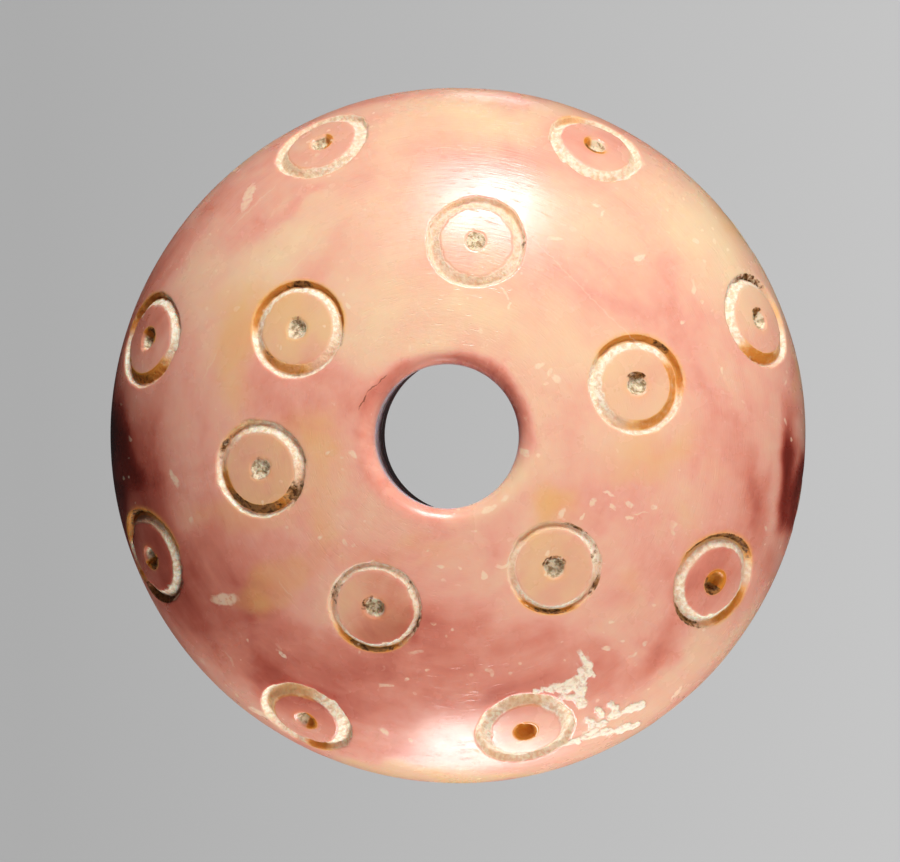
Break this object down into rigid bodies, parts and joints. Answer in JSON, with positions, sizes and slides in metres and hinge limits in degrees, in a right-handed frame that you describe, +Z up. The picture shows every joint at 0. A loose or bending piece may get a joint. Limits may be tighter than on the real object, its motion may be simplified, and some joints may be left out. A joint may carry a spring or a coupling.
{
  "type": "spindle whorl",
  "caption": "Domed bone spindle whorl with a flat base, a tapered spindle bore and rows of carved ring-and-dot marks.",
  "frame": {"origin": "on the whorl's axis, in the plane of the flat base", "axes": "+Z up along the bore's axis, from the flat base to the dome; +X and +Y lie in the base's plane"},
  "size_m": [0.03, 0.03, 0.0131],
  "materials": {
    "bone": "worn and polished, stained"
  },
  "bodies": {
    "root": {"whorl": "bone"}
  },
  "joints": []
}
